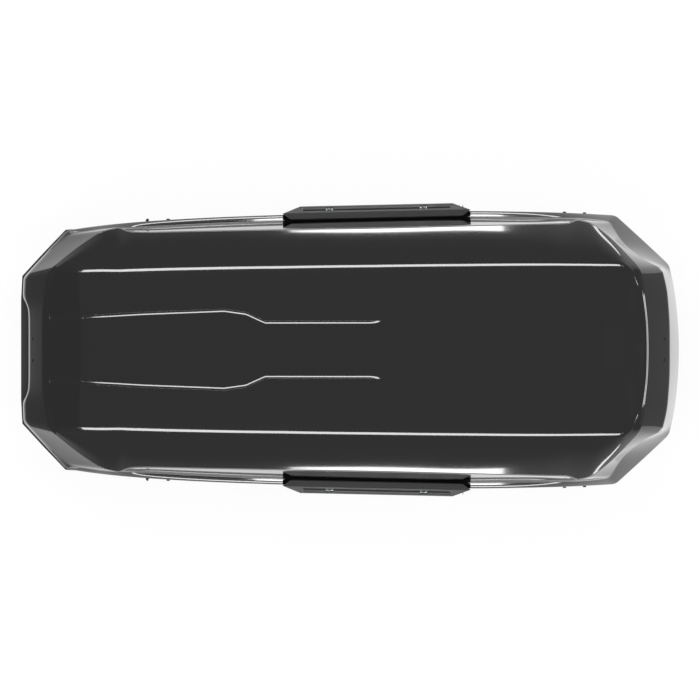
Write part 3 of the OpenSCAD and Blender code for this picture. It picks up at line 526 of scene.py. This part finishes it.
def end_tree(tree, given, shape, finish):
    """The last steps of a tree: set the shape on the points, make it real, give it its finish."""
    facing = add(tree, "GeometryNodeInputNamedAttribute",
                 {"data_type": "FLOAT_VECTOR", "Name": "facing"})
    turn = add(tree, "FunctionNodeAlignRotationToVector", {"axis": "Z"},
               {"Vector": facing.outputs["Attribute"]})
    placed = add(tree, "GeometryNodeInstanceOnPoints", links={
        "Points": given["Points"], "Instance": shape, "Rotation": turn.outputs["Rotation"]})
    real = add(tree, "GeometryNodeRealizeInstances", links={
        "Geometry": placed.outputs["Instances"]})
    dressed = add(tree, "GeometryNodeSetMaterial", {"Material": finish}, {
        "Geometry": real.outputs["Geometry"]})
    add(tree, "NodeGroupOutput", links={"Shape": dressed.outputs["Geometry"]})


def rivet_tree(finish):
    """A domed head with a flat rim on a round shank."""
    tree, given = repeat_tree("rivets", ["Head Radius", "Head Height", "Shank Radius", "Shank"])
    dome = add(tree, "GeometryNodeMeshUVSphere", {"Segments": 28, "Rings": 14},
               {"Radius": given["Head Radius"]})
    squash = add(tree, "ShaderNodeMath", {"operation": "DIVIDE"},
                 {0: given["Head Height"], 1: given["Head Radius"]})
    flat = add(tree, "ShaderNodeCombineXYZ", {"X": 1.0, "Y": 1.0}, {"Z": squash.outputs[0]})
    head = add(tree, "GeometryNodeTransform", links={
        "Geometry": dome.outputs["Mesh"], "Scale": flat.outputs[0]})
    shank = add(tree, "GeometryNodeMeshCylinder", {"Vertices": 20}, {
        "Radius": given["Shank Radius"], "Depth": given["Shank"]})
    half = add(tree, "ShaderNodeMath", {"operation": "MULTIPLY", 1: -0.5}, {0: given["Shank"]})
    down = add(tree, "ShaderNodeCombineXYZ", links={"Z": half.outputs[0]})
    sunk = add(tree, "GeometryNodeTransform", links={
        "Geometry": shank.outputs["Mesh"], "Translation": down.outputs[0]})
    both = add(tree, "GeometryNodeJoinGeometry")
    tree.links.new(head.outputs["Geometry"], both.inputs["Geometry"])
    tree.links.new(sunk.outputs["Geometry"], both.inputs["Geometry"])
    end_tree(tree, given, both.outputs["Geometry"], finish)
    return tree


def spring_tree(finish):
    """A coil of round wire, centred on its point."""
    tree, given = repeat_tree("springs", ["Coil Radius", "Wire Radius", "Length", "Turns"])
    coil = add(tree, "GeometryNodeCurveSpiral", {"Resolution": 24}, {
        "Start Radius": given["Coil Radius"], "End Radius": given["Coil Radius"],
        "Height": given["Length"], "Rotations": given["Turns"]})
    wire = add(tree, "GeometryNodeCurvePrimitiveCircle", {"Resolution": 10},
               {"Radius": given["Wire Radius"]})
    solid = add(tree, "GeometryNodeCurveToMesh", {"Fill Caps": True}, {
        "Curve": coil.outputs["Curve"], "Profile Curve": wire.outputs["Curve"]})
    half = add(tree, "ShaderNodeMath", {"operation": "MULTIPLY", 1: -0.5}, {0: given["Length"]})
    down = add(tree, "ShaderNodeCombineXYZ", links={"Z": half.outputs[0]})
    centred = add(tree, "GeometryNodeTransform", links={
        "Geometry": solid.outputs["Mesh"], "Translation": down.outputs[0]})
    end_tree(tree, given, centred.outputs["Geometry"], finish)
    return tree


def repeat(node, tree, places, sizes):
    """Runs a tree on places and their directions, and stands the result in for a CAD node."""
    piece = new_object(node + "_drawn", [[c / MM for c in place] for place, _ in places], [])
    facing = piece.data.attributes.new("facing", "FLOAT_VECTOR", "POINT")
    for row, (_, direction) in zip(facing.data, places):
        row.vector = direction
    maker = piece.modifiers.new("repeat", "NODES")
    maker.node_group = tree
    for socket in tree.interface.items_tree:
        if socket.name in sizes:
            maker[socket.identifier] = sizes[socket.name]
    apply_modifiers(piece)
    clean(piece, 40, merge=0.002)
    dress(piece, BODY_OF[node], SLOT_OF[node], FINISHES[SLOT_OF[node]], node)


RIVET_HEAD_H = 2.4


def rivet_places():
    """Where each rivet's head sits on the lid, and the way that it faces."""
    places = []
    for solid in solids_of("lid_rivets"):
        middle = sum(solid, Vector()) / len(solid)
        across = max(solid, key=lambda p: (p - middle).length) - middle
        spread = Matrix([[sum(p[i] * p[j] for p in [q - middle for q in solid])
                          for j in range(3)] for i in range(3)])
        line = across.normalized()
        for _ in range(30):
            line = (spread @ line).normalized()
        if line.x * middle.x + line.y * middle.y < 0:
            line = -line
        top = max((p - middle).dot(line) for p in solid)
        low = min((p - middle).dot(line) for p in solid)
        axis = middle + line * (top - RIVET_HEAD_H * MM)
        places.append((axis, line, top - low))
    return places


RIVETS = rivet_places()
repeat("lid_rivets", rivet_tree(FINISHES["rivet_black"]), [(p, d) for p, d, _ in RIVETS], {
    "Head Radius": 6 * MM, "Head Height": RIVET_HEAD_H * MM, "Shank Radius": 2.4 * MM,
    "Shank": 13 * MM})

SPRINGS = spring_tree(FINISHES["spring_steel"])
for side in ("left", "right"):
    for word, wire, turns in (("_handle_springs", 1.1, 6), ("_lifter_springs", 1.3, 4)):
        node = side + word
        places = []
        for solid in solids_of(node):
            low = Vector([min(p[i] for p in solid) for i in range(3)])
            high = Vector([max(p[i] for p in solid) for i in range(3)])
            places.append(((low + high) / 2, Vector((1, 0, 0))))
            coil = high - low
        repeat(node, SPRINGS, places, {
            "Coil Radius": coil.z / 2 - (wire + 0.1) * MM, "Wire Radius": wire * MM,
            "Length": coil.x - (2 * wire + 0.4) * MM, "Turns": float(turns)})

# Edge rounding of each piece, by its slot, in millimetres
EDGES = {
    "base_abs": 1.2, "floor_steel": 0.4, "pad_rubber": 1.0, "plated_steel": 0.35,
    "rail_aluminium": 0.5, "bracket_steel": 0.4, "stiffener_aluminium": 0.3,
    "boss_nylon": 0.8, "roller_acetal": 0.4, "lock_zinc": 0.35, "handle_nylon": 1.0,
    "clamp_nylon": 1.2, "knob_nylon": 1.0,
}
for name in CAD:
    if SLOT_OF[name] in EDGES:
        ease(name, EDGES[SLOT_OF[name]])

# ---------- studio ----------


def softbox(name, centre, aim, size, level):
    """A rectangular lamp turned to a point, as bright all over, its long side level."""
    lamp = bpy.data.lights.new(name, "AREA")
    lamp.shape = "RECTANGLE"
    lamp.size, lamp.size_y = size
    lamp.energy = level * math.pi * size[0] * size[1]
    holder = bpy.data.objects.new(name, lamp)
    bpy.context.scene.collection.objects.link(holder)
    holder.location = centre
    away = (Vector(centre) - Vector(aim)).normalized()
    across = Vector((-away.y, away.x, 0)).normalized()
    turn = holder.matrix_world.to_3x3()
    turn.col[0], turn.col[1], turn.col[2] = across, away.cross(across), away
    holder.rotation_mode = "QUATERNION"
    holder.rotation_quaternion = turn.to_quaternion()
    holder.visible_camera = False


def strip_at(name, side, angle, distance, length, width, level, x=0.0, aim_z=0.3):
    """A long lamp beside the box, along X, at an angle from straight up."""
    lean = math.radians(angle)
    centre = (x, side * distance * math.sin(lean), aim_z + distance * math.cos(lean))
    softbox(name, centre, (x, 0, aim_z), (length, width), level)


def dark_card(name, points, level):
    """A standing grey card that only reflections see, as a studio uses to keep a face dark."""
    card = new_object(name, points, [list(range(len(points)))])
    paint = bpy.data.materials.new("card_" + name)
    paint.use_nodes = True
    tree = paint.node_tree
    tree.nodes.clear()
    tone = add(tree, "ShaderNodeEmission", {"Color": (level, level, level, 1)})
    add(tree, "ShaderNodeOutputMaterial", links={"Surface": tone.outputs[0]})
    card.data.materials.append(paint)
    card.visible_camera = False
    card.visible_diffuse = False
    card.visible_shadow = False
    card.visible_transmission = False


for side, word in ((1, "right"), (-1, "left")):
    strip_at(word + "_high_strip", side, 34, 4.0, 5.3, 0.85, 9.0, x=-0.95)
    strip_at(word + "_low_strip", side, 87, 4.0, 5.0, 0.3, 8.0)
    strip_at(word + "_handle_light", side, 77, 2.6, 0.95, 0.3, 14.0, x=0.075)
dark_card("nose_card", [[-1300, -700, -36], [-1300, 700, -36], [-1300, 700, 900],
                        [-1300, -700, 900]], 0.26)
dark_card("tail_card", [[1400, -500, -36], [1400, 500, -36], [1400, 500, 900],
                        [1400, -500, 900]], 0.4)
softbox("tail_light", (3.2, 0, 3.3), (0.9, 0, 0.4), (1.6, 1.5), 8.0)

world = bpy.data.worlds.new("pale_studio")
bpy.context.scene.world = world
world.use_nodes = True
sky = world.node_tree
sky.nodes.clear()
ray = add(sky, "ShaderNodeLightPath")
direction = add(sky, "ShaderNodeTexCoord").outputs["Generated"]
height = add(sky, "ShaderNodeSeparateXYZ", links={"Vector": direction}).outputs["Z"]
shade = add(sky, "ShaderNodeValToRGB", links={"Fac": height})
shade.color_ramp.elements[0].position = 0.0
shade.color_ramp.elements[0].color = (0.9, 0.9, 0.9, 1.0)
shade.color_ramp.elements[1].position = 0.4
shade.color_ramp.elements[1].color = (0.3, 0.3, 0.3, 1.0)
lit = add(sky, "ShaderNodeBackground", {"Strength": 1.0}, {"Color": shade.outputs["Color"]})
white = add(sky, "ShaderNodeBackground", {"Color": (1, 1, 1, 1), "Strength": 1.0})
shown = add(sky, "ShaderNodeMixShader", links={
    0: ray.outputs["Is Camera Ray"], 1: lit.outputs[0], 2: white.outputs[0]})
add(sky, "ShaderNodeOutputWorld", links={"Surface": shown.outputs[0]})


def make_floor():
    """A pale floor just under the claws. It shows white, and keeps a light shadow."""
    reach = 9000
    level = cad_bounds[0].z / MM - 1
    floor = new_object("floor", [[-reach, -reach, level], [reach, -reach, level],
                                 [reach, reach, level], [-reach, reach, level]], [[0, 1, 2, 3]])
    paint = bpy.data.materials.new("floor_paint_matt_white")
    paint.use_nodes = True
    tree = paint.node_tree
    tree.nodes.clear()
    path = add(tree, "ShaderNodeLightPath")
    seen = add(tree, "ShaderNodeMath", {"operation": "MAXIMUM"}, {
        0: path.outputs["Is Camera Ray"], 1: path.outputs["Is Glossy Ray"]})
    matt = add(tree, "ShaderNodeBsdfDiffuse", {"Color": colour("#e8e8e8")})
    glow = add(tree, "ShaderNodeEmission", {"Color": (1, 1, 1, 1), "Strength": 1.0})
    share = add(tree, "ShaderNodeMath", {"operation": "MULTIPLY", 1: 0.92},
                {0: seen.outputs[0]})
    both = add(tree, "ShaderNodeMixShader", links={
        0: share.outputs[0], 1: matt.outputs[0], 2: glow.outputs[0]})
    add(tree, "ShaderNodeOutputMaterial", links={"Surface": both.outputs[0]})
    floor.data.materials.append(paint)


make_floor()

# ---------- camera ----------

# Straight down through a long lens, nose to the left. The field of view covers 2234 mm at the
# height of the hinges.
camera = bpy.data.objects.new("camera", bpy.data.cameras.new("camera"))
bpy.context.scene.collection.objects.link(camera)
camera.data.lens = 500
camera.data.sensor_width = 36
camera.data.clip_end = 200
FIELD = 2.2337
camera.location = (-0.0008, -0.0008, RIM_Z * MM + FIELD * 500 / 36)
bpy.context.scene.camera = camera
bpy.context.scene.view_settings.view_transform = "Standard"
